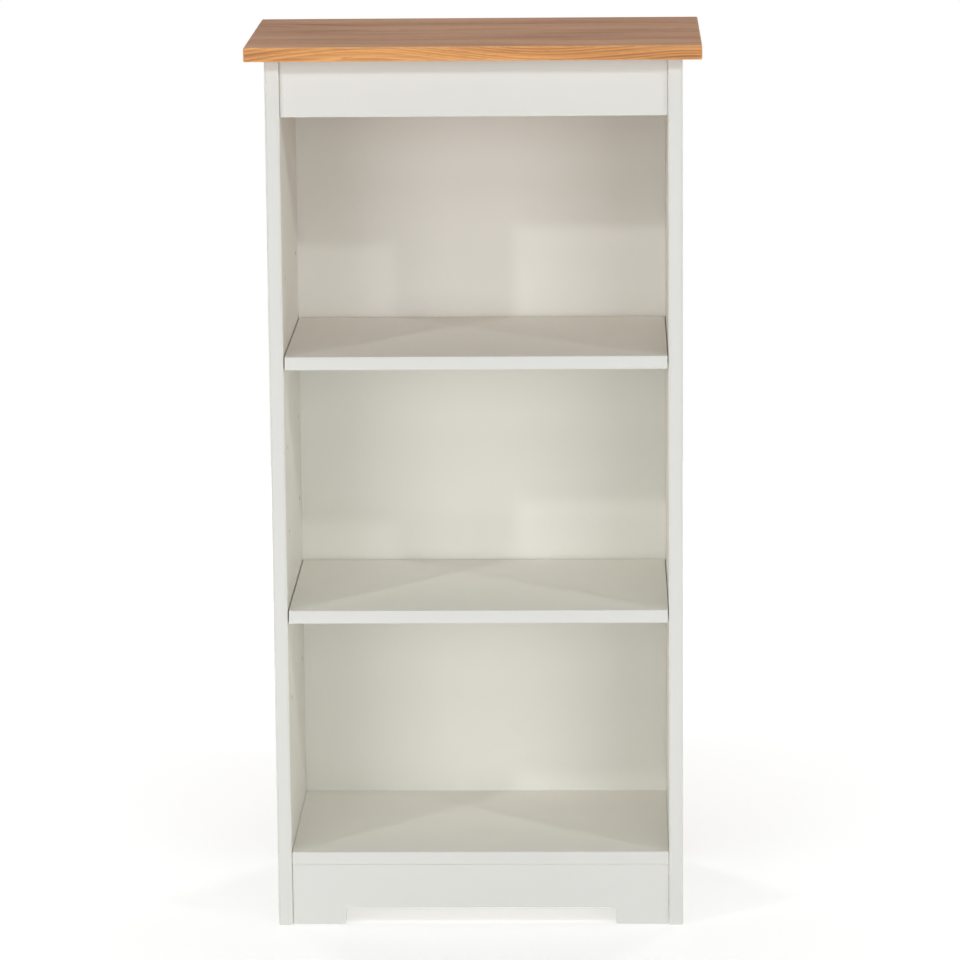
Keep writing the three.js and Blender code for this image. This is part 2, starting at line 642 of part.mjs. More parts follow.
function nailGeometry() {
  const shank = NAIL_SHANK / 2;
  const point = TOUCH_GAP - NAIL_LENGTH;
  const headTop = TOUCH_GAP + NAIL_HEAD_HEIGHT;
  const outline = [
    [0, point],
    [shank, point + NAIL_POINT],
    [shank, TOUCH_GAP],
    [NAIL_HEAD_RADIUS, TOUCH_GAP],
    [NAIL_HEAD_RADIUS - NAIL_HEAD_BEVEL, headTop],
    [0, headTop],
  ];
  return turned(outline, NAIL_SIDES);
}

// Turns a piece's own +Y to a direction.
const turnTo = (direction) => new THREE.Quaternion().setFromUnitVectors(BACKWARD, direction);

function makeCamFittings() {
  for (const { label, foot, shank, face, depth, cam } of CAMS) {
    const towardsFoot = shank.clone().negate();
    const basis = new THREE.Matrix4().makeBasis(towardsFoot, face.clone().cross(towardsFoot), face);
    const facing = new THREE.Quaternion().setFromRotationMatrix(basis);
    place(`cam_lock_${label}`, camGeometry(depth), zincAlloy(), cam, facing);
    place(`cam_bolt_${label}`, boltGeometry(), platedSteel(), foot, turnTo(shank));
  }
}

function makeDowels() {
  for (const { label, foot, shank } of DOWELS) {
    place(`dowel_${label}`, dowelGeometry(), beech(), foot, turnTo(shank));
  }
}

function makeNails() {
  NAIL_PLACES.forEach((x, i) => {
    const head = vector(x, BACK_FACE + BACK_BOARD, BOTTOM_SHELF_MID);
    place(`back_panel_nail_${i + 1}`, nailGeometry(), platedSteel(), head);
  });
}

// ---------------------------------------------------------------- the bookcase

makeTopBoard();
makeSidePanel("left");
makeSidePanel("right");
makeHeader();
makeBackPanel();
makeLooseShelf("upper_shelf", UPPER_SHELF_ROW);
makeLooseShelf("lower_shelf", LOWER_SHELF_ROW);
makeBottomShelf();
makePlinth();
makeShelfPins("upper", UPPER_SHELF_ROW);
makeShelfPins("lower", LOWER_SHELF_ROW);
makeCamFittings();
makeDowels();
makeNails();

export default bookcase;
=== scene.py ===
"""Looks of the narrow bookcase: an oak top on a white carcass with two loose shelves.

The CAD frame gives every size and place. The boards that show are rebuilt here with finely rounded
arrises, real pin holes and real bores; the hidden fittings keep their CAD meshes under better materials.
Metres, +X right, +Y towards the wall, +Z up, with the origin on the floor under the top board.
"""

import math

import bmesh
import bpy
from mathutils import Matrix, Vector, noise


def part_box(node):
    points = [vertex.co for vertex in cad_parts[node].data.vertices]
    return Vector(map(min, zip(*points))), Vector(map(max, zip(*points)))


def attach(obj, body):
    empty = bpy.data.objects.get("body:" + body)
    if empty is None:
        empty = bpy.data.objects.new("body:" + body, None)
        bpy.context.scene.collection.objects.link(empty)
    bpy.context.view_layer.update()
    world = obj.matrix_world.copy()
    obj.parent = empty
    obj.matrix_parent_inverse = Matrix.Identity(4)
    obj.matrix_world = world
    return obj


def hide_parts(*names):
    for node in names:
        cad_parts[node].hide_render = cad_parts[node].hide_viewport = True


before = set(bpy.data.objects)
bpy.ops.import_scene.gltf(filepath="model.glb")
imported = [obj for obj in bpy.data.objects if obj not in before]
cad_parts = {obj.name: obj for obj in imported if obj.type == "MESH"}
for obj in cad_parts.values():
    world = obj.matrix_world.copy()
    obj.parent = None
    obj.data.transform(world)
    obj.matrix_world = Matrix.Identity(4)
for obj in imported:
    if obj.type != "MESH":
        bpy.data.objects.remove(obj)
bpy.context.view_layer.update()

# ---------------------------------------------------------------- sizes

MM = 0.001
PANEL_ROUND = 3 * MM
TOP_ROUND = 1.5 * MM
RAIL_ROUND = 2 * MM
SHELF_ROUND = 1.2 * MM
CUT_EDGE_ROUND = 0.8 * MM
ROUND_SEGMENTS = 5  # in each rounded arris

PIN_HOLE_RADIUS = 2.5 * MM
PIN_HOLE_DEPTH = 10 * MM
PIN_ROWS = 6
PIN_ROWS_BETWEEN_SHELVES = 3
LOWER_SHELF_ROW = 1
RIM = 0.3 * MM  # the broken edge round a drilled hole
HAIRLINE = 0.12 * MM  # the seam that shows between two boards that touch
FITTING_CLEARANCE = 0.3 * MM
BEYOND = 1 * MM  # how far a cutter goes past the face that it cuts
CYLINDER_SIDES = 32

ARCH_HALF_WIDTH = 153 * MM
ARCH_TOP = 20.5 * MM
ARCH_CORNER_RADIUS = 5 * MM
ARCH_TOE_RADIUS = 2 * MM
ARCH_STEPS = 8  # in each quarter turn of the cut-out

BACK_PANEL_BOW = 0.9 * MM
BACK_PANEL_CELL = 12 * MM
BOW_LEAST = 0.75  # share of the bow that every place gets
BOW_VARIATION = 0.5
BOW_WAVES = (5, 4)  # across and up, in noise cells per metre

PIN_STEM_RADIUS = 2.2 * MM
PIN_STEM_LENGTH = 9 * MM
PIN_STEM_LEAD = 0.6 * MM  # the taper at the stem's end
PIN_PLATE = 1.5 * MM
PIN_TONGUE = 2.5 * MM
PIN_RIB = 2 * MM
PIN_TIP_STEPS = 16
PIN_SOFTENING = 0.35 * MM
PIN_STEP = 0.1 * MM  # the plate's top is this much lower than the tongue's, and each side this much wider
# How deep in the plate each part starts. No two are alike, so that no faces coincide in the union.
PIN_ROOTS = {"tongue": 0.25 * PIN_PLATE, "stem": 0.5 * PIN_PLATE, "rib": 0.6 * PIN_PLATE}

NAIL_SIDES = 24
NAIL_SHANK_RADIUS = 0.8 * MM
NAIL_POINT_RADIUS = 0.08 * MM
NAIL_POINT_LENGTH = 2 * MM
NAIL_NECK = 0.6 * MM  # the flare under the head
NAIL_HEAD_FOOT = ((0.0, 0.55), (0.05 * MM, 0.96), (0.3 * MM, 1.0))  # height, share of the head's radius
NAIL_HEAD_CROWN = ((0.25 * MM, 0.82), (0.06 * MM, 0.45))  # depth below the crown, share of the radius
NAIL_CROWN_RADIUS = 0.1 * MM

SOFTENING_SEGMENTS = 2
SHARP_ANGLE = math.radians(35)
MOULDED_SHARP_ANGLE = math.radians(40)
METAL_SHARP_ANGLE = math.radians(50)
AXIAL = 0.9995  # how straight along an axis a flat face's normal is, at least

AXES = {"x": 0, "y": 1, "z": 2}
HANDS = {"left": -1, "right": 1}
ENDS = ("front", "rear")
LEVELS = ("upper", "lower")

# ---------------------------------------------------------------- tones, in linear red, green and blue

FOIL_TONE = (0.83, 0.817, 0.752)
# The edging's white is the foil's white made darker, a painted shade, because the front-facing edges take
# more of the lamps' light.
EDGING_TONE_PAINTED_SHADE = (0.655, 0.656, 0.628)
RUBBED_FOIL_TONE = (0.66, 0.63, 0.56)
CHIP_TONES = ((0.36, 0.23, 0.12), (0.62, 0.46, 0.28))
CHIP_DUST_TONE = (0.24, 0.15, 0.08)
BACK_PAINT_TONES = ((0.83, 0.813, 0.762), (0.855, 0.84, 0.792))
BACK_SPECK_TONE = (0.68, 0.65, 0.58)
FELT_TONES = ((0.27, 0.165, 0.095), (0.42, 0.285, 0.175))
FELT_HAIR_TONE = (0.56, 0.42, 0.28)
BEECH_TONES = ((0.63, 0.43, 0.26), (0.47, 0.29, 0.16))
PLASTIC_TONES = ((0.80, 0.80, 0.77), (0.86, 0.86, 0.835))
ZINC_TONE = (0.56, 0.56, 0.55)
STEEL_TONE = (0.68, 0.67, 0.63)
# The top face's tones are greyer and less orange than the edge's. This is partly the veneer's own tone and
# partly a painted sheen, the pale reflection that a face shows when it is seen at a grazing angle.
OAK_FACE_TONES_PAINTED_SHEEN = {"light": (0.70, 0.405, 0.245), "dark": (0.33, 0.155, 0.09), "pore": (0.20, 0.10, 0.055)}
OAK_EDGE_TONES = {"light": (0.755, 0.36, 0.115), "dark": (0.27, 0.088, 0.02), "pore": (0.2, 0.075, 0.022)}
OAK_END_TONES = {"light": (0.57, 0.26, 0.085), "dark": (0.32, 0.12, 0.032), "pore": (0.24, 0.095, 0.03)}
FLOOR_TONES = ((0.82, 0.82, 0.817), (0.85, 0.85, 0.847))
WHITE = (1.0, 1.0, 1.0, 1)
BLACK = (0.0, 0.0, 0.0, 1)

# ---------------------------------------------------------------- finishes

FOIL_IOR = 1.46
FOIL_SHADE = 0.965  # the darkest that the foil's tone drifts to, as a share of it
FOIL_SATIN = 0.44  # roughness, about which smears and clouds vary it
EDGING_SATIN = 0.40
OAK_IOR = 1.48
OAK_FACE_SATIN = 0.46
OAK_EDGE_SATIN = 0.44
METAL_SHADE = 0.72
ZINC_SATIN, ZINC_CLOUDS = 0.42, 260  # clouds per metre
STEEL_SATIN, STEEL_CLOUDS = 0.30, 180
PLASTIC_SCATTER = 0.08
PLASTIC_SCATTER_DEPTH = 2 * MM
FLOOR_SPECULAR = 0.1

FOIL_WEAR = 0.35  # how much of the rubbed tone shows where an arris is rubbed
FOIL_WEAR_DULLS = 0.12  # how much rougher it is there
OAK_WEAR = 0.6
OAK_WEAR_PALES = 1.22

# The strength and the depth of each relief.
RELIEFS = {
    "foil_waves": (0.12, 0.3 * MM),
    "foil_peel": (0.10, 0.06 * MM),
    "oak_pores": (0.25, 0.12 * MM),
    "chips": (0.5, 0.25 * MM),
    "paint_roller": (0.18, 0.1 * MM),
    "felt": (0.35, 0.12 * MM),
    "metal_grit": (0.25, 0.04 * MM),
    "beech_flecks": (0.4, 0.1 * MM),
    "moulded_skin": (0.2, 0.03 * MM),
}

LATE_WOOD = (0.25, 0.86)  # across a ring, where it starts to darken and where it is darkest
# Where each veneer was cut: the pith's place on the two other axes, and the width of a growth ring.
FACE_RINGS = {"pith": (0.03, 0.915), "spacing": 4.2 * MM, "sway": 0.06, "tilt": 0.03}
EDGE_RINGS = {"pith": (-0.118, 0.955), "spacing": 3.8 * MM, "sway": 0.06, "tilt": 0.05}
END_RINGS = {"pith": (0.0, 0.972), "spacing": 2.6 * MM, "sway": 0.02, "tilt": 0.03}
UNEVEN_YEARS = 3.6  # how many rings' width the good and bad years push a ring about
YEARS_PER_RING = 0.45  # how quickly good and bad years follow each other
WANDER_SCALES = (9.0, 2.8)  # across and along the grain, of the pith line's wandering

# ---------------------------------------------------------------- studio

FLOOR_RADIUS = 2.6
FLOOR_SIDES = 96
# The floor's painted glow is an emission that stands in for studio light. It is weak near the middle and
# strongest at the rim.
FLOOR_GLOW_START = 0.3
FLOOR_GLOW_NEAR = 0.4
FLOOR_GLOW_RIM = 0.8
SWEEP_RADIUS = 30.0
SWEEP_BRIGHTNESS = 1.0
WORLD_LIGHT = 0.1

MIDDLE = (0.0, 0.0, 0.5)
# name: (place, what it points at, width, height or None if round, watts)
LIGHTS = {
    "key_left": ((-1.99, -2.03, 2.08), MIDDLE, 0.12, None, 16),
    "key_right": ((2.35, -1.96, 2.19), MIDDLE, 0.12, None, 17),
    "scrim_left": ((-2.15, -4.9, 1.3), (0.0, 0.0, 1.3), 2.1, 2.4, 60),
    "scrim_right": ((2.15, -4.9, 1.3), (0.0, 0.0, 1.3), 2.1, 2.4, 60),
    "high_scrim": ((0.0, -4.9, 3.6), (0.0, 0.0, 3.6), 6.2, 1.4, 60),
    "overhead": ((0.0, 0.6, 3.6), (0.0, 0.3, 0.0), 2.4, None, 28),
    "rear_left": ((-1.9, 2.7, 2.2), (0.0, 0.4, 0.3), 0.9, None, 20),
    "rear_right": ((1.9, 2.7, 2.2), (0.0, 0.4, 0.3), 0.9, None, 20),
}

CAMERA_PLACE = (0.150, -5.445, 1.579)
CAMERA_TARGET = (0.0, 0.0, 0.489)
CAMERA_ROLL = math.radians(-0.52)
CAMERA_LENS = 183.0
CAMERA_SENSOR = 36
CAMERA_REACH = 200  # metres

# ---------------------------------------------------------------- node helpers

NOISE_LOW, NOISE_HIGH = 0.3, 0.7  # between which most of a noise's values fall


def new_material(name):
    material = bpy.data.materials.new(name)
    material.use_nodes = True
    tree = material.node_tree
    return material, tree, tree.nodes["Principled BSDF"]


def node(tree, kind, inputs=None, output=0, **settings):
    """Adds a node, sets or links its inputs, and returns one of its outputs."""
    made = tree.nodes.new("ShaderNode" + kind)
    for key, value in settings.items():
        setattr(made, key, value)
    for key, value in (inputs or {}).items():
        if isinstance(value, bpy.types.NodeSocket):
            tree.links.new(value, made.inputs[key])
        else:
            made.inputs[key].default_value = value
    return made.outputs[output]


def math_node(tree, operation, a, b=0.0):
    return node(tree, "Math", {0: a, 1: b}, operation=operation)


def remap(tree, value, from_low, from_high, to_low=0.0, to_high=1.0):
    limits = {"From Min": from_low, "From Max": from_high, "To Min": to_low, "To Max": to_high}
    return node(tree, "MapRange", {"Value": value, **limits}, clamp=True)


def spread(tree, value, low=0.0, high=1.0):
    """A noise's usual values, drawn out from low to high."""
    return remap(tree, value, NOISE_LOW, NOISE_HIGH, low, high)


def own_coordinates(tree):
    """The board's own coordinates in metres."""
    return node(tree, "TexCoord", output="Object")


def stretched(tree, per_metre, offset=(0, 0, 0)):
    """The board's own coordinates, for a pattern with so many cells in a metre along each axis."""
    return node(tree, "Mapping", {"Vector": own_coordinates(tree), "Scale": per_metre, "Location": offset})


def fine(tree, per_metre, offset=(0, 0, 0)):
    """The board's own coordinates, for a pattern with so many cells in a metre along every axis."""
    return stretched(tree, (per_metre,) * 3, offset)


def noise_value(tree, vector, scale=1.0, detail=2.0, roughness=0.5, distortion=0.0):
    inputs = {
        "Vector": vector,
        "Scale": scale,
        "Detail": detail,
        "Roughness": roughness,
        "Distortion": distortion,
    }
    return node(tree, "TexNoise", inputs, output="Fac")


def blend(tree, factor, low, high):
    """Mixes two colours, each a socket or an (r, g, b) tuple."""
    mix = tree.nodes.new("ShaderNodeMix")
    mix.data_type = "RGBA"
    colours = [s for s in mix.inputs if s.type == "RGBA"]
    fraction = next(s for s in mix.inputs if s.type == "VALUE")
    for socket, value in zip([fraction, *colours], [factor, low, high]):
        if isinstance(value, bpy.types.NodeSocket):
            tree.links.new(value, socket)
        else:
            socket.default_value = (*value, 1) if isinstance(value, tuple) else value
    return next(s for s in mix.outputs if s.type == "RGBA")


def bump(tree, height, relief, normal=None):
    strength, distance = RELIEFS[relief]
    inputs = {"Height": height, "Strength": strength, "Distance": distance}
    if normal is not None:
        inputs["Normal"] = normal
    return node(tree, "Bump", inputs)


def wear_mask(tree, coords_scale=90.0, low=0.45, high=0.65):
    """Patches along the rounded arrises, where hands and boxes have rubbed them."""
    arris = node(tree, "Attribute", attribute_name="wear", output="Fac")
    patches = noise_value(tree, fine(tree, coords_scale), detail=4.0, roughness=0.65)
    return math_node(tree, "MULTIPLY", arris, remap(tree, patches, low, high))


def dress(tree, shader, colour, roughness, normal):
    tree.links.new(colour, shader.inputs["Base Color"])
    tree.links.new(roughness, shader.inputs["Roughness"])
    tree.links.new(normal, shader.inputs["Normal"])


# ---------------------------------------------------------------- materials


def white_foil(name, tone, satin, shift=0.0):
    """Satin white foil: a faint drift of tone, an orange-peel skin, and rubbed arrises."""
    material, tree, shader = new_material(name)
    drift = noise_value(tree, fine(tree, 2.2, (shift, shift, shift)), detail=3.0)
    shade = tuple(c * FOIL_SHADE for c in tone)
    base = blend(tree, remap(tree, drift, 0.35, 0.65), shade, tone)
    rubbed = wear_mask(tree)
    colour = blend(tree, math_node(tree, "MULTIPLY", rubbed, FOIL_WEAR), base, RUBBED_FOIL_TONE)
    smears = noise_value(tree, stretched(tree, (5, 14, 5), (shift, 0, 0)), detail=5.0, roughness=0.6)
    sheen = spread(tree, smears, satin - 0.05, satin + 0.07)
    gloss = math_node(tree, "ADD", sheen, math_node(tree, "MULTIPLY", rubbed, FOIL_WEAR_DULLS))
    peel = noise_value(tree, fine(tree, 420), detail=2.0)
    waves = noise_value(tree, fine(tree, 26, (shift, 0, shift)), detail=1.0)
    rippled = bump(tree, waves, "foil_waves")
    dress(tree, shader, colour, gloss, bump(tree, peel, "foil_peel", rippled))
    shader.inputs["IOR"].default_value = FOIL_IOR
    return material


def along_grain(along, across_scale, along_scale):
    """Texture scales that draw a pattern out along the grain."""
    scales = [across_scale] * 3
    scales[AXES[along]] = along_scale
    return scales


def growth_rings(tree, along, pith, spacing, sway, tilt, seed):
    """Growth rings, 0 to 1 across each one, about a pith line that wanders beside the board's length."""
    split = tree.nodes.new("ShaderNodeSeparateXYZ")
    tree.links.new(own_coordinates(tree), split.inputs[0])
    axis = AXES[along]
    across, depth = [split.outputs[i] for i in range(3) if i != axis]
    slow = along_grain(along, *WANDER_SCALES)
    sideways = noise_value(tree, stretched(tree, slow, (seed, 0, seed)), detail=1.0)
    upwards = noise_value(tree, stretched(tree, slow, (0, seed, seed)), detail=1.0)
    drift = math_node(tree, "MULTIPLY", split.outputs[axis], tilt)
    offsets = []
    for place, wander, origin in ((across, sideways, pith[0]), (depth, upwards, pith[1])):
        shift = math_node(tree, "MULTIPLY", math_node(tree, "SUBTRACT", wander, 0.5), sway)
        offsets.append(math_node(tree, "ADD", math_node(tree, "SUBTRACT", place, origin), shift))
    tilted = math_node(tree, "ADD", offsets[1], drift)
    flat = node(tree, "CombineXYZ", {0: offsets[0], 1: tilted, 2: 0.0})
    radius = node(tree, "VectorMath", {0: flat}, operation="LENGTH", output="Value")
    count = math_node(tree, "DIVIDE", radius, spacing)
    year_place = node(tree, "CombineXYZ", {0: count, 1: seed, 2: 0.0})
    years = noise_value(tree, year_place, scale=YEARS_PER_RING, detail=1.0)
    uneven = math_node(tree, "MULTIPLY", years, UNEVEN_YEARS)
    return math_node(tree, "FRACT", math_node(tree, "ADD", count, uneven))


def oak(name, light, dark, pore, rough, rings, along="x", seed=0.0, figure=0.9):
    """Oak veneer with its grain along one axis: growth rings, fibres, pores and darker flecks."""
    material, tree, shader = new_material(name)
    ring = growth_rings(tree, along, seed=seed, **rings)
    darkest = LATE_WOOD[1]
    late = math_node(tree, "SUBTRACT", remap(tree, ring, *LATE_WOOD), remap(tree, ring, darkest, 1.0))
    fibre_place = stretched(tree, along_grain(along, 900.0, 9.0), (seed, 0, seed))
    fibres = noise_value(tree, fibre_place, detail=3.0, roughness=0.6)
    pore_place = stretched(tree, along_grain(along, 1500.0, 55.0), (0, seed, 0))
    pores = noise_value(tree, pore_place, detail=1.0)
    early = remap(tree, ring, 0.15, 0.75, 0.9, 0.25)
    pore_mask = math_node(tree, "MULTIPLY", remap(tree, pores, 0.60, 0.68), early)
    cloud_place = stretched(tree, along_grain(along, 26.0, 3.0), (seed, seed, 0))
    clouds = noise_value(tree, cloud_place, detail=4.0)
    fleck_place = stretched(tree, along_grain(along, 150.0, 14.0), (0, 0, seed))
    flecks = noise_value(tree, fleck_place, detail=2.0)

    rings_seen = math_node(tree, "MULTIPLY", late, spread(tree, clouds, figure * 0.2, figure))
    grain = math_node(tree, "ADD", rings_seen, remap(tree, fibres, 0.35, 0.65, -0.15, 0.25))
    wood = blend(tree, remap(tree, grain, 0.0, 1.05), light, dark)
    broad = blend(tree, remap(tree, clouds, 0.42, 0.7, 0.0, 0.45), wood, dark)
    flecked = blend(tree, remap(tree, flecks, 0.66, 0.78, 0.0, 0.6), broad, dark)
    with_pores = blend(tree, math_node(tree, "MULTIPLY", pore_mask, 0.55), flecked, pore)
    rubbed = wear_mask(tree, 60.0, 0.35, 0.6)
    pale = tuple(min(1.0, c * OAK_WEAR_PALES) for c in light)
    colour = blend(tree, math_node(tree, "MULTIPLY", rubbed, OAK_WEAR), with_pores, pale)

    satin = spread(tree, fibres, rough - 0.05, rough + 0.07)
    gloss = math_node(tree, "ADD", satin, math_node(tree, "MULTIPLY", pore_mask, 0.15))
    relief = math_node(tree, "SUBTRACT", math_node(tree, "MULTIPLY", fibres, 0.35), pore_mask)
    dress(tree, shader, colour, gloss, bump(tree, relief, "oak_pores"))
    shader.inputs["IOR"].default_value = OAK_IOR
    return material


def particle_board(name):
    """The raw core of a board: pressed chips of several browns."""
    material, tree, shader = new_material(name)
    jitter = noise_value(tree, fine(tree, 300), detail=2.0)
    coords = stretched(tree, (420, 420, 300))
    shaken = node(tree, "VectorMath", {0: coords, 1: jitter}, operation="ADD")
    cells = node(tree, "TexVoronoi", {"Vector": shaken, "Scale": 1.0}, output="Color")
    chip = node(tree, "SeparateColor", {0: cells})
    browns = blend(tree, chip, *CHIP_TONES)
    dust = noise_value(tree, fine(tree, 1400), detail=3.0)
    colour = blend(tree, remap(tree, dust, 0.4, 0.75, 0.0, 0.5), browns, CHIP_DUST_TONE)
    edges = node(tree, "TexVoronoi", {"Vector": shaken, "Scale": 1.0}, output="Distance",
                 feature="DISTANCE_TO_EDGE")
    pits = math_node(tree, "ADD", remap(tree, edges, 0.0, 0.25), math_node(tree, "MULTIPLY", dust, 0.6))
    dress(tree, shader, colour, spread(tree, dust, 0.75, 0.95), bump(tree, pits, "chips"))
    return material


def painted_hardboard(name):
    """The back panel's white face: thin paint over fibre board, a little warmer than the foil."""
    material, tree, shader = new_material(name)
    drift = noise_value(tree, fine(tree, 3.1), detail=4.0)
    base = blend(tree, spread(tree, drift), *BACK_PAINT_TONES)
    speck = noise_value(tree, fine(tree, 700), detail=2.0)
    colour = blend(tree, remap(tree, speck, 0.62, 0.8, 0.0, 0.25), base, BACK_SPECK_TONE)
    roller = noise_value(tree, stretched(tree, (520, 520, 180)), detail=3.0)
    dress(tree, shader, colour, spread(tree, drift, 0.5, 0.6), bump(tree, roller, "paint_roller"))
    return material


def raw_hardboard(name):
    """The back panel's bare reverse: felted brown fibres with a faint screen texture."""
    material, tree, shader = new_material(name)
    felt_place = stretched(tree, (160, 160, 90))
    felt = noise_value(tree, felt_place, detail=6.0, roughness=0.7, distortion=0.6)
    hair_place = stretched(tree, (900, 900, 260))
    hairs = noise_value(tree, hair_place, detail=4.0, roughness=0.65, distortion=1.5)
    base = blend(tree, spread(tree, felt), *FELT_TONES)
    colour = blend(tree, remap(tree, hairs, 0.5, 0.72, 0.0, 0.5), base, FELT_HAIR_TONE)
    dress(tree, shader, colour, spread(tree, felt, 0.72, 0.88), bump(tree, hairs, "felt"))
    return material


def cast_metal(name, tone, rough, clouds):
    """Zinc casting or plated steel: cloudy tone, fine grain and scratches, in a metallic shader."""
    material, tree, shader = new_material(name)
    cloud = noise_value(tree, fine(tree, clouds), detail=5.0, roughness=0.6)
    dull = tuple(c * METAL_SHADE for c in tone)
    colour = blend(tree, spread(tree, cloud), dull, tone)
    grit = noise_value(tree, fine(tree, 2600), detail=2.0)
    gloss = spread(tree, cloud, rough - 0.08, rough + 0.14)
    dress(tree, shader, colour, gloss, bump(tree, grit, "metal_grit"))
    shader.inputs["Metallic"].default_value = 1.0
    return material


def beech(name):
    """Dowel beech: pale pink-brown with short flecks."""
    material, tree, shader = new_material(name)
    fleck = noise_value(tree, stretched(tree, (350, 1400, 1400)), detail=3.0)
    base = blend(tree, remap(tree, fleck, 0.35, 0.7), *BEECH_TONES)
    dress(tree, shader, base, spread(tree, fleck, 0.6, 0.78), bump(tree, fleck, "beech_flecks"))
    return material


def moulded_plastic(name):
    """The shelf pins' white plastic, with a fine spark-eroded skin."""
    material, tree, shader = new_material(name)
    mottle = noise_value(tree, fine(tree, 120), detail=3.0)
    base = blend(tree, spread(tree, mottle), *PLASTIC_TONES)
    skin = noise_value(tree, fine(tree, 2200), detail=1.0)
    dress(tree, shader, base, spread(tree, mottle, 0.38, 0.5), bump(tree, skin, "moulded_skin"))
    shader.inputs["Subsurface Weight"].default_value = PLASTIC_SCATTER
    shader.inputs["Subsurface Radius"].default_value = (PLASTIC_SCATTER_DEPTH,) * 3
    return material


FOIL = white_foil("white_foil", FOIL_TONE, FOIL_SATIN)
# Painted shade: the front edges get a darker copy of the foil's white.
EDGING_PAINTED_SHADE = white_foil("white_edging_painted_shade", EDGING_TONE_PAINTED_SHADE, EDGING_SATIN, shift=3.7)
CORE = particle_board("particle_board_core")
# Partly painted sheen: the face's greyer tones stand in for its grazing reflection.
OAK_FACE_PAINTED_SHEEN = oak("oak_face_painted_sheen", **OAK_FACE_TONES_PAINTED_SHEEN, rough=OAK_FACE_SATIN, rings=FACE_RINGS, seed=2.3, figure=0.75)
OAK_EDGE = oak("oak_edge", **OAK_EDGE_TONES, rough=OAK_EDGE_SATIN, rings=EDGE_RINGS, seed=5.1)
OAK_END = oak("oak_end", **OAK_END_TONES, rough=OAK_EDGE_SATIN, rings=END_RINGS, along="y", seed=8.4)
BACK_WHITE = painted_hardboard("painted_hardboard")
BACK_BROWN = raw_hardboard("raw_hardboard")
ZINC = cast_metal("cast_zinc", ZINC_TONE, ZINC_SATIN, ZINC_CLOUDS)
STEEL = cast_metal("plated_steel", STEEL_TONE, STEEL_SATIN, STEEL_CLOUDS)
BEECH = beech("dowel_beech")
PLASTIC = moulded_plastic("pin_plastic")

# ---------------------------------------------------------------- mesh helpers


def object_from(bm, name, materials=()):
    mesh = bpy.data.meshes.new(name)
    bm.to_mesh(mesh)
    bm.free()
    for material in materials:
        mesh.materials.append(material)
    made = bpy.data.objects.new(name, mesh)
    bpy.context.scene.collection.objects.link(made)
    return made


def apply_modifiers(obj):
    """Gives the object its evaluated mesh and takes its modifiers away."""
    graph = bpy.context.evaluated_depsgraph_get()
    mesh = bpy.data.meshes.new_from_object(obj.evaluated_get(graph), depsgraph=graph)
    old = obj.data
    obj.modifiers.clear()
    obj.data = mesh
    mesh.name = obj.name
    bpy.data.meshes.remove(old)


def remove(obj):
    mesh = obj.data
    bpy.data.objects.remove(obj)
    bpy.data.meshes.remove(mesh)


def plain_box(low, high):
    bm = bmesh.new()
    bmesh.ops.create_cube(bm, size=1.0)
    size, middle = high - low, (low + high) / 2
    for vert in bm.verts:
        vert.co = Vector(middle[i] + vert.co[i] * size[i] for i in range(3))
    return bm


def weighted_box(low, high, radii):
    """A box whose edges carry bevel weights. radii maps (axis, sign, sign) to an edge's radius, where
    the signs are the edge's sides on the other two axes, in their own order."""
    bm = plain_box(low, high)
    middle = (low + high) / 2
    weights = bm.edges.layers.float.new("bevel_weight_edge")
    largest = max(radii.values(), default=0.0)
    for edge in bm.edges:
        centre = (edge.verts[0].co + edge.verts[1].co) / 2
        axis = max(range(3), key=lambda i: abs(edge.verts[0].co[i] - edge.verts[1].co[i]))
        sides = tuple(1 if centre[i] > middle[i] else -1 for i in range(3) if i != axis)
        key = ("xyz"[axis], *sides)
        edge[weights] = radii.get(key, 0.0) / largest if largest else 0.0
    bmesh.ops.recalc_face_normals(bm, faces=bm.faces)
    return bm, largest


def rounded_box(name, low, high, radii, materials=()):
    bm, largest = weighted_box(low, high, radii)
    made = object_from(bm, name, materials)
    if largest:
        bevel = made.modifiers.new("arrises", "BEVEL")
        bevel.limit_method = "WEIGHT"
        bevel.width = largest
        bevel.segments = ROUND_SEGMENTS
        bevel.use_clamp_overlap = False
        apply_modifiers(made)
    return made


def all_edges(radius):
    """The same radius for every edge of a box."""
    return {(axis, s, t): radius for axis in AXES for s in (-1, 1) for t in (-1, 1)}


def soften(obj, width):
    """A small bevel on every edge of a moulding."""
    bevel = obj.modifiers.new("softened", "BEVEL")
    bevel.width = width
    bevel.segments = SOFTENING_SEGMENTS
    bevel.limit_method = "ANGLE"
    bevel.angle_limit = MOULDED_SHARP_ANGLE
    apply_modifiers(obj)


def add_turned(bm, profile, axis, origin, sides=CYLINDER_SIDES):
    """Adds a closed solid of revolution. profile is [(distance along the axis, radius), ...]."""
    u, v = [i for i in range(3) if i != axis]
    rings = []
    for along, radius in profile:
        ring = []
        for k in range(sides):
            angle = 2 * math.pi * k / sides
            place = Vector(origin)
            place[axis] += along
            place[u] += radius * math.cos(angle)
            place[v] += radius * math.sin(angle)
            ring.append(bm.verts.new(place))
        rings.append(ring)
    for low, high in zip(rings, rings[1:]):
        for k in range(sides):
            bm.faces.new((low[k], low[(k + 1) % sides], high[(k + 1) % sides], high[k]))
    bm.faces.new(rings[0])
    bm.faces.new(rings[-1])


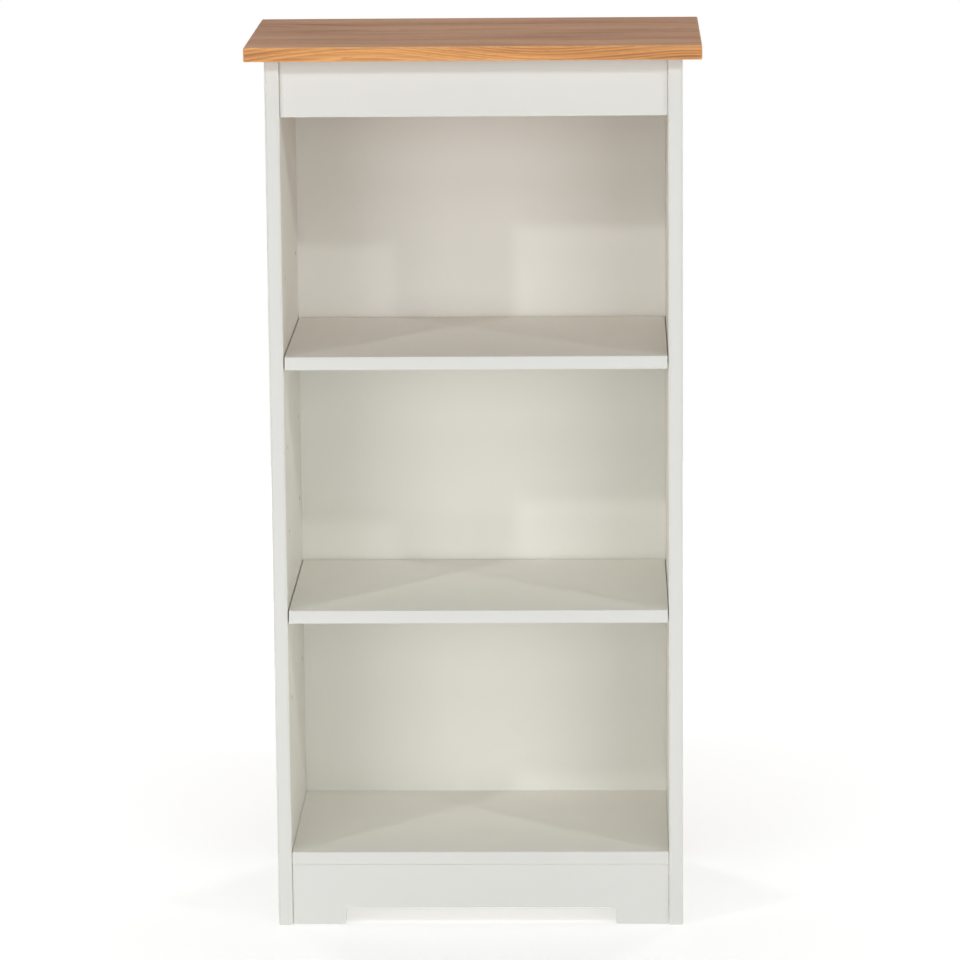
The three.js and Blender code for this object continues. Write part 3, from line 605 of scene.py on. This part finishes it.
def add_outline(bm, points, axis, low, high):
    """Adds a flat outline, given on the two other axes, pushed through from low to high."""
    u, v = [i for i in range(3) if i != axis]
    sheets = []
    for level in (low, high):
        sheet = []
        for a, b in points:
            place = Vector((0, 0, 0))
            place[axis], place[u], place[v] = level, a, b
            sheet.append(bm.verts.new(place))
        sheets.append(sheet)
    count = len(points)
    for k in range(count):
        near, far = sheets
        bm.faces.new((near[k], near[(k + 1) % count], far[(k + 1) % count], far[k]))
    bm.faces.new(sheets[0])
    bm.faces.new(sheets[1])


def arc(centre, radius, start, stop, steps):
    """Points on a circle from one angle to another, in degrees."""
    angles = [math.radians(start + (stop - start) * k / steps) for k in range(steps + 1)]
    return [(centre[0] + radius * math.cos(a), centre[1] + radius * math.sin(a)) for a in angles]


def carve(board, cutters, wall):
    """Cuts the collected closed shells out of a board. Their walls show the given material."""
    bmesh.ops.recalc_face_normals(cutters, faces=cutters.faces)
    tool = object_from(cutters, board.name + "_cutters", [wall])
    cut = board.modifiers.new("bores", "BOOLEAN")
    cut.operation = "DIFFERENCE"
    cut.solver = "EXACT"
    cut.material_mode = "TRANSFER"
    cut.object = tool
    apply_modifiers(board)
    remove(tool)


def is_axial(normal):
    return max(abs(c) for c in normal) > AXIAL


def paint_sides(board, by_direction):
    """Gives the outer faces their materials by the way they face; by_direction maps "-y" and so on.
    Faces left by a cutter keep the cutter's material."""
    mesh = board.data
    outer = [polygon for polygon in mesh.polygons if polygon.material_index == 0]
    places = {material.name: i for i, material in enumerate(mesh.materials)}
    for material in by_direction.values():
        if material.name not in places:
            places[material.name] = len(mesh.materials)
            mesh.materials.append(material)
    for polygon in outer:
        axis = max(range(3), key=lambda i: abs(polygon.normal[i]))
        key = ("-" if polygon.normal[axis] < 0 else "+") + "xyz"[axis]
        material = by_direction.get(key, by_direction["*"])
        polygon.material_index = places[material.name]


def mark_wear(mesh):
    """Marks the points inside the rounded arrises, which the materials show as rubbed."""
    on_flat = set()
    for polygon in mesh.polygons:
        if is_axial(polygon.normal):
            on_flat.update(polygon.vertices)
    wear = mesh.attributes.new("wear", "FLOAT", "POINT")
    for i in range(len(mesh.vertices)):
        wear.data[i].value = 0.0 if i in on_flat else 1.0


def smooth(mesh, sharp_angle):
    """Smooth shading, with every edge sharper than an angle kept sharp."""
    mesh.shade_smooth()
    mesh.set_sharp_from_angle(angle=sharp_angle)


def finish_shading(obj):
    """Smooth arrises and flat faces."""
    smooth(obj.data, SHARP_ANGLE)
    weighted = obj.modifiers.new("flat_faces", "WEIGHTED_NORMAL")
    weighted.keep_sharp = True
    weighted.weight = 100


def stand_for(obj, cad_node, body):
    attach(obj, body)
    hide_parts(cad_node)
    return obj


# ---------------------------------------------------------------- bores for the fittings


def overlaps(a, b):
    return all(a[0][i] < b[1][i] and b[0][i] < a[1][i] for i in range(3))


def fitting_bore(cutters, fitting, board_box):
    """A round bore where a bolt, dowel or nail passes through a board, or a cam sits in its pocket."""
    low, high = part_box(fitting)
    size = high - low
    is_cam = fitting.startswith("cam_lock")
    axis = (min if is_cam else max)(range(3), key=lambda i: size[i])
    radius = max(size[i] for i in range(3) if i != axis) / 2 + FITTING_CLEARANCE
    start, stop = low[axis] - FITTING_CLEARANCE, high[axis] + FITTING_CLEARANCE
    if is_cam and abs(low[axis] - board_box[0][axis]) < 2 * FITTING_CLEARANCE:
        start = board_box[0][axis] - BEYOND
    if is_cam and abs(high[axis] - board_box[1][axis]) < 2 * FITTING_CLEARANCE:
        stop = board_box[1][axis] + BEYOND
    origin = (low + high) / 2
    origin[axis] = 0.0
    add_turned(cutters, [(start, radius), (stop, radius)], axis, origin)


def fittings_in(cad_node):
    """The hidden fittings whose boxes reach into a board."""
    board_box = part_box(cad_node)
    kinds = ("cam_lock", "cam_bolt", "dowel", "back_panel_nail")
    names = [n for n in sorted(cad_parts) if n.startswith(kinds)]
    return [n for n in names if overlaps(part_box(n), board_box)]


def bored(cad_node):
    """Cutters for every fitting in a board, as one bmesh."""
    cutters = bmesh.new()
    board_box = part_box(cad_node)
    for fitting in fittings_in(cad_node):
        fitting_bore(cutters, fitting, board_box)
    return cutters


def carve_all(board, cutters_list):
    """Drills the bores, holes and grooves, which show the raw core."""
    for cutters in cutters_list:
        if cutters.faces:
            carve(board, cutters, CORE)
        else:
            cutters.free()


# ---------------------------------------------------------------- boards


def finish_board(board, sides, cad_node, body):
    paint_sides(board, sides)
    mark_wear(board.data)
    finish_shading(board)
    stand_for(board, cad_node, body)


def back_groove(board_box):
    """The groove that the back panel stands in, wherever the panel's box reaches into a board."""
    low, high = (v.copy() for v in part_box("back_panel"))
    for i in range(3):
        inside = low[i] > board_box[0][i] and high[i] < board_box[1][i]
        margin = FITTING_CLEARANCE if inside or i == AXES["y"] else BEYOND
        low[i] = max(low[i], board_box[0][i] - BEYOND) - (margin if low[i] > board_box[0][i] else 0)
        high[i] = min(high[i], board_box[1][i] + BEYOND) + (margin if high[i] < board_box[1][i] else 0)
    return plain_box(low, high)


def make_top():
    low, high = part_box("top_board")
    top = rounded_box("oak_top", low, high, all_edges(TOP_ROUND), [OAK_FACE_PAINTED_SHEEN])
    carve_all(top, [bored("top_board"), back_groove((low, high))])
    sides = {"*": OAK_FACE_PAINTED_SHEEN, "-y": OAK_EDGE, "+y": CORE, "-x": OAK_END, "+x": OAK_END, "-z": OAK_FACE_PAINTED_SHEEN}
    finish_board(top, sides, "top_board", "case")


def pin_hole_places():
    """(depth, height) of every pin hole, from where the shelf pins sit."""
    low_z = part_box("lower_shelf")[0].z
    pitch = (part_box("upper_shelf")[0].z - low_z) / PIN_ROWS_BETWEEN_SHELVES
    columns = []
    for end in ENDS:
        low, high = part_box(f"lower_shelf_pin_{end}_left")
        columns.append((low.y + high.y) / 2)
    heights = [low_z + (row - LOWER_SHELF_ROW) * pitch for row in range(PIN_ROWS)]
    return [(y, z) for y in columns for z in heights]


def pin_hole_cutters(hand, board_box):
    side = HANDS[hand]
    mouth = board_box[1 if side < 0 else 0].x
    profile = [
        (-side * BEYOND, PIN_HOLE_RADIUS + RIM + BEYOND),
        (side * RIM, PIN_HOLE_RADIUS),
        (side * PIN_HOLE_DEPTH, PIN_HOLE_RADIUS),
    ]
    cutters = bmesh.new()
    for y, z in pin_hole_places():
        add_turned(cutters, profile, AXES["x"], (mouth, y, z))
    return cutters


def make_side(hand):
    cad_node = f"{hand}_side_panel"
    low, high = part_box(cad_node)
    radii = {
        ("x", -1, -1): PANEL_ROUND,
        ("x", 1, -1): CUT_EDGE_ROUND,
        ("y", -1, -1): PANEL_ROUND,
        ("y", 1, -1): PANEL_ROUND,
        ("z", -1, -1): PANEL_ROUND,
        ("z", 1, -1): PANEL_ROUND,
        ("z", -1, 1): CUT_EDGE_ROUND,
        ("z", 1, 1): CUT_EDGE_ROUND,
    }
    side = rounded_box(f"{hand}_side", low, high, radii, [FOIL])
    cutters = [bored(cad_node), pin_hole_cutters(hand, (low, high)), back_groove((low, high))]
    carve_all(side, cutters)
    sides = {"*": FOIL, "-y": EDGING_PAINTED_SHADE, "+y": CORE, "+z": CORE}
    finish_board(side, sides, cad_node, "case")


def rail_radii(front_low, rear_low, rear_high, front_high):
    return {
        ("x", -1, -1): front_low,
        ("x", 1, -1): rear_low,
        ("x", 1, 1): rear_high,
        ("x", -1, 1): front_high,
    }


def make_header():
    low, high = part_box("header_rail")
    header = rounded_box("header", low, high, rail_radii(RAIL_ROUND, CUT_EDGE_ROUND, 0, 0), [FOIL])
    carve_all(header, [bored("header_rail")])
    sides = {"*": FOIL, "-y": EDGING_PAINTED_SHADE, "+z": CORE, "-x": CORE, "+x": CORE}
    finish_board(header, sides, "header_rail", "case")


def arch_outline(bottom):
    """The plinth's cut-out on X and Z, with rounded upper corners and rounded toes."""
    half, radius, toe = ARCH_HALF_WIDTH, ARCH_CORNER_RADIUS, ARCH_TOE_RADIUS
    points = [(-half - toe, bottom - BEYOND), (half + toe, bottom - BEYOND)]
    points += arc((half + toe, bottom + toe), toe, 270, 180, ARCH_STEPS)
    points += arc((half - radius, ARCH_TOP - radius), radius, 0, 90, ARCH_STEPS)
    points += arc((radius - half, ARCH_TOP - radius), radius, 90, 180, ARCH_STEPS)
    points += arc((-half - toe, bottom + toe), toe, 0, -90, ARCH_STEPS)
    return points


def make_plinth():
    """The rail under the fixed shelf, drawn up to a hairline seam against it."""
    low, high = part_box("plinth_rail")
    high.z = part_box("bottom_shelf")[0].z - HAIRLINE
    radii = rail_radii(SHELF_ROUND, CUT_EDGE_ROUND, 0, CUT_EDGE_ROUND)
    plinth = rounded_box("plinth", low, high, radii, [FOIL])
    arch = bmesh.new()
    add_outline(arch, arch_outline(low.z), AXES["y"], low.y - BEYOND, high.y + BEYOND)
    # The cut-out's walls take the front edges' darker white, a painted shade.
    carve(plinth, arch, EDGING_PAINTED_SHADE)
    carve_all(plinth, [bored("plinth_rail")])
    sides = {"*": FOIL, "-y": EDGING_PAINTED_SHADE, "-x": CORE, "+x": CORE, "-z": EDGING_PAINTED_SHADE}
    finish_board(plinth, sides, "plinth_rail", "case")


def make_shelf(cad_node, piece, body, radii):
    low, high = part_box(cad_node)
    shelf = rounded_box(piece, low, high, radii, [FOIL])
    carve_all(shelf, [bored(cad_node)])
    sides = {"*": FOIL, "-y": EDGING_PAINTED_SHADE, "+y": CORE, "-x": CORE, "+x": CORE}
    finish_board(shelf, sides, cad_node, body)


def thin_sheet(low, high, cell):
    """A closed sheet that faces Y, with a grid of points on both faces."""
    size = high - low
    columns, rows = round(size.x / cell), round(size.z / cell)
    bm = bmesh.new()

    def grid(y):
        across = [low.x + size.x * i / columns for i in range(columns + 1)]
        up = [low.z + size.z * j / rows for j in range(rows + 1)]
        return [[bm.verts.new((x, y, z)) for x in across] for z in up]

    near, far = grid(low.y), grid(high.y)
    for j in range(rows):
        for i in range(columns):
            bm.faces.new((near[j][i], near[j][i + 1], near[j + 1][i + 1], near[j + 1][i]))
            bm.faces.new((far[j][i], far[j + 1][i], far[j + 1][i + 1], far[j][i + 1]))
    for j in range(rows):
        bm.faces.new((near[j][0], near[j + 1][0], far[j + 1][0], far[j][0]))
        bm.faces.new((near[j][-1], far[j][-1], far[j + 1][-1], near[j + 1][-1]))
    for i in range(columns):
        bm.faces.new((near[0][i], far[0][i], far[0][i + 1], near[0][i + 1]))
        bm.faces.new((near[-1][i], near[-1][i + 1], far[-1][i + 1], far[-1][i]))
    return bm


def bow(verts):
    """Pushes the back panel's middle backwards. The grooves and the bottom shelf hold its edges."""
    held_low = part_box("bottom_shelf")[1].z
    held_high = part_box("left_side_panel")[1].z
    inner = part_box("bottom_shelf")[1].x
    for vert in verts:
        across = max(0.0, 1 - (vert.co.x / inner) ** 2)
        up = (vert.co.z - held_low) / (held_high - held_low)
        rise = math.sin(math.pi * up) if 0 < up < 1 else 0.0
        waves = noise.noise(Vector((vert.co.x * BOW_WAVES[0], 0.0, vert.co.z * BOW_WAVES[1])))
        vert.co.y += BACK_PANEL_BOW * across * rise * (BOW_LEAST + BOW_VARIATION * waves)


def make_back():
    """The thin back panel, which bows very slightly backwards."""
    bm = thin_sheet(*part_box("back_panel"), BACK_PANEL_CELL)
    bow(bm.verts)
    back = object_from(bm, "back_sheet", [BACK_WHITE])
    carve_all(back, [bored("back_panel")])
    paint_sides(back, {"*": BACK_BROWN, "-y": BACK_WHITE})
    smooth(back.data, SHARP_ANGLE)
    stand_for(back, "back_panel", "case")


# ---------------------------------------------------------------- shelf pins and nails


def unite(first, others):
    for other in others:
        join = first.modifiers.new("join", "BOOLEAN")
        join.operation = "UNION"
        join.solver = "EXACT"
        join.object = other
    apply_modifiers(first)
    for other in others:
        remove(other)


def closed_part(bm, name, softened=0.0):
    """One part of a pin, with its faces turned outwards and its edges softened."""
    bmesh.ops.recalc_face_normals(bm, faces=bm.faces)
    part = object_from(bm, name, [PLASTIC])
    if softened:
        soften(part, softened)
    return part


def pin_plate(half, drop):
    low = Vector((FITTING_CLEARANCE, -half, -drop))
    high = Vector((FITTING_CLEARANCE + PIN_PLATE, half, -FITTING_CLEARANCE - PIN_STEP))
    return rounded_box("pin_plate", low, high, all_edges(PIN_SOFTENING), [PLASTIC])


def pin_tongue(reach, half):
    """The tongue that the shelf rests on, with a round tip."""
    half = half - PIN_STEP
    root = FITTING_CLEARANCE + PIN_ROOTS["tongue"]
    outline = [(root, -half), *arc((reach - half, 0.0), half, -90, 90, PIN_TIP_STEPS), (root, half)]
    bm = bmesh.new()
    add_outline(bm, outline, AXES["z"], -FITTING_CLEARANCE - PIN_TONGUE, -FITTING_CLEARANCE)
    return closed_part(bm, "pin_tongue", PIN_SOFTENING)


def pin_rib(reach, drop):
    """The gusset under the tongue."""
    root = FITTING_CLEARANCE + PIN_ROOTS["rib"]
    outline = [(root, -drop + RIM), (reach - PIN_RIB, -PIN_TONGUE), (root, -PIN_TONGUE)]
    bm = bmesh.new()
    add_outline(bm, outline, AXES["y"], -PIN_RIB / 2, PIN_RIB / 2)
    return closed_part(bm, "pin_rib", PIN_SOFTENING / 2)


def pin_stem():
    profile = [
        (-PIN_STEM_LENGTH, PIN_STEM_RADIUS - PIN_STEM_LEAD),
        (-PIN_STEM_LENGTH + PIN_STEM_LEAD, PIN_STEM_RADIUS),
        (FITTING_CLEARANCE + PIN_ROOTS["stem"], PIN_STEM_RADIUS),
    ]
    bm = bmesh.new()
    add_turned(bm, profile, AXES["x"], (0, 0, 0))
    return closed_part(bm, "pin_stem")


def make_pin(cad_node, hand, shelf_bottom):
    """A spade pin: stem in the hole, plate on the side panel, ribbed tongue under the shelf."""
    low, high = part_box(cad_node)
    inward = -HANDS[hand]
    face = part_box("left_side_panel")[1].x if inward > 0 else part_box("right_side_panel")[0].x
    reach = high.x - face if inward > 0 else face - low.x
    half = (high.y - low.y) / 2
    drop = shelf_bottom - low.z
    pin = pin_plate(half, drop)
    unite(pin, [pin_tongue(reach, half), pin_rib(reach, drop), pin_stem()])
    turn = Matrix.Identity(4) if inward > 0 else Matrix.Rotation(math.pi, 4, "Z")
    centre = Vector((face, (low.y + high.y) / 2, shelf_bottom))
    pin.data.transform(Matrix.Translation(centre) @ turn)
    pin.name = cad_node.replace("shelf_pin", "pin")
    mark_wear(pin.data)
    finish_shading(pin)
    stand_for(pin, cad_node, "case")


def nail_profile(tip, head_foot, crown, head):
    """(distance along the nail, radius) from the point to the crown."""
    profile = [
        (tip, NAIL_POINT_RADIUS),
        (tip + NAIL_POINT_LENGTH, NAIL_SHANK_RADIUS),
        (head_foot - NAIL_NECK, NAIL_SHANK_RADIUS),
    ]
    profile += [(head_foot + height, head * share) for height, share in NAIL_HEAD_FOOT]
    profile += [(crown - depth, head * share) for depth, share in NAIL_HEAD_CROWN]
    return [*profile, (crown, NAIL_CROWN_RADIUS)]


def make_nail(cad_node):
    """A round-headed panel nail, driven from behind."""
    low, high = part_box(cad_node)
    centre = (low + high) / 2
    head_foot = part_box("back_panel")[1].y + FITTING_CLEARANCE - centre.y
    profile = nail_profile(low.y - centre.y, head_foot, high.y - centre.y, (high.x - low.x) / 2)
    bm = bmesh.new()
    add_turned(bm, profile, AXES["y"], centre, NAIL_SIDES)
    bmesh.ops.recalc_face_normals(bm, faces=bm.faces)
    nail = object_from(bm, cad_node.replace("back_panel_nail", "panel_nail"), [STEEL])
    smooth(nail.data, METAL_SHARP_ANGLE)
    stand_for(nail, cad_node, "case")


# ---------------------------------------------------------------- fittings that keep their CAD meshes

# kind: (material, slot)
CAD_FINISHES = {
    "cam_lock": (ZINC, "zinc_alloy"),
    "cam_bolt": (STEEL, "plated_steel"),
    "dowel": (BEECH, "beech"),
}


def finish_fittings():
    """Real finishes on the cams, bolts and dowels."""
    for name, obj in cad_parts.items():
        kind = next((k for k in CAD_FINISHES if name.startswith(k)), None)
        if kind is None:
            continue
        material, slot_name = CAD_FINISHES[kind]
        for material_slot in obj.material_slots:
            material_slot.material = material
        if not obj.material_slots:
            obj.data.materials.append(material)


# ---------------------------------------------------------------- the bookcase


def make_bookcase():
    make_top()
    for hand in HANDS:
        make_side(hand)
    make_header()
    make_plinth()
    make_shelf("bottom_shelf", "fixed_shelf", "case", rail_radii(SHELF_ROUND, 0, 0, SHELF_ROUND))
    loose = rail_radii(SHELF_ROUND, CUT_EDGE_ROUND, CUT_EDGE_ROUND, SHELF_ROUND)
    for level in LEVELS:
        make_shelf(f"{level}_shelf", f"{level}_loose_shelf", f"{level}_shelf", loose)
    make_back()
    for level in LEVELS:
        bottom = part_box(f"{level}_shelf")[0].z
        for hand in HANDS:
            for end in ENDS:
                make_pin(f"{level}_shelf_pin_{end}_{hand}", hand, bottom)
    for name in sorted(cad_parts):
        if name.startswith("back_panel_nail"):
            make_nail(name)
    finish_fittings()


# ---------------------------------------------------------------- floor, backdrop, lights and camera


def make_floor():
    """A pale floor with a painted glow, an emission that stands in for studio light on it: weaker near the
    bookcase and lightening towards its rim, as a lit studio sweep does. The glow lights the bookcase too.
    """
    bm = bmesh.new()
    bmesh.ops.create_circle(bm, cap_ends=True, segments=FLOOR_SIDES, radius=FLOOR_RADIUS)
    material, tree, shader = new_material("studio_floor")
    cloud = noise_value(tree, fine(tree, 0.8), detail=3.0)
    tree.links.new(blend(tree, cloud, *FLOOR_TONES), shader.inputs["Base Color"])
    tree.links.new(spread(tree, cloud, 0.75, 0.85), shader.inputs["Roughness"])
    shader.inputs["Specular IOR Level"].default_value = FLOOR_SPECULAR
    reach = node(tree, "VectorMath", {0: own_coordinates(tree)}, operation="LENGTH", output="Value")
    glow = remap(tree, reach, FLOOR_GLOW_START, FLOOR_RADIUS, FLOOR_GLOW_NEAR, FLOOR_GLOW_RIM)
    tree.links.new(glow, shader.inputs["Emission Strength"])
    shader.inputs["Emission Color"].default_value = WHITE
    object_from(bm, "studio_floor", [material])


def sweep_mesh():
    """A dome that stands on a flat ring, which joins it to the floor's rim."""
    bm = bmesh.new()
    bmesh.ops.create_uvsphere(bm, u_segments=FLOOR_SIDES, v_segments=FLOOR_SIDES // 2, radius=SWEEP_RADIUS)
    below = [vert for vert in bm.verts if vert.co.z < -BEYOND]
    bmesh.ops.delete(bm, geom=below, context="VERTS")
    inner, outer = [
        bmesh.ops.create_circle(bm, segments=FLOOR_SIDES, radius=radius)["verts"]
        for radius in (FLOOR_RADIUS, SWEEP_RADIUS)
    ]
    for k in range(FLOOR_SIDES):
        following = (k + 1) % FLOOR_SIDES
        bm.faces.new((inner[k], inner[following], outer[following], outer[k]))
    return bm


def make_sweep():
    """The white backdrop on every side and beyond the floor's rim. It is seen, and lights nothing."""
    material, _, shader = new_material("studio_sweep")
    shader.inputs["Base Color"].default_value = BLACK
    shader.inputs["Specular IOR Level"].default_value = 0.0
    shader.inputs["Emission Color"].default_value = WHITE
    shader.inputs["Emission Strength"].default_value = SWEEP_BRIGHTNESS
    sweep = object_from(sweep_mesh(), "studio_sweep", [material])
    sweep.visible_diffuse = False
    sweep.visible_glossy = False
    sweep.visible_shadow = False


def make_light(name, place, target, width, height, power):
    """A round lamp, or an oblong one if it has a height."""
    data = bpy.data.lights.new(name, "AREA")
    data.shape = "RECTANGLE" if height else "DISK"
    data.size = width
    if height:
        data.size_y = height
    data.energy = power
    lamp = bpy.data.objects.new(name, data)
    bpy.context.scene.collection.objects.link(lamp)
    lamp.location = place
    lamp.rotation_euler = (Vector(target) - Vector(place)).to_track_quat("-Z", "Y").to_euler()
    lamp.visible_camera = False


def make_world():
    world = bpy.data.worlds.new("studio")
    world.use_nodes = True
    background = world.node_tree.nodes["Background"]
    background.inputs["Color"].default_value = WHITE
    background.inputs["Strength"].default_value = WORLD_LIGHT
    bpy.context.scene.world = world


def make_camera():
    data = bpy.data.cameras.new("camera")
    data.sensor_width = CAMERA_SENSOR
    data.lens = CAMERA_LENS
    data.clip_end = CAMERA_REACH
    camera = bpy.data.objects.new("camera", data)
    bpy.context.scene.collection.objects.link(camera)
    place, target = Vector(CAMERA_PLACE), Vector(CAMERA_TARGET)
    aim = (target - place).to_track_quat("-Z", "Y").to_matrix().to_4x4()
    camera.matrix_world = Matrix.Translation(place) @ aim @ Matrix.Rotation(CAMERA_ROLL, 4, "Z")
    bpy.context.scene.camera = camera


make_bookcase()
make_floor()
make_sweep()
for name, settings in LIGHTS.items():
    make_light(name, *settings)
make_world()
make_camera()
bpy.context.scene.view_settings.view_transform = "Standard"
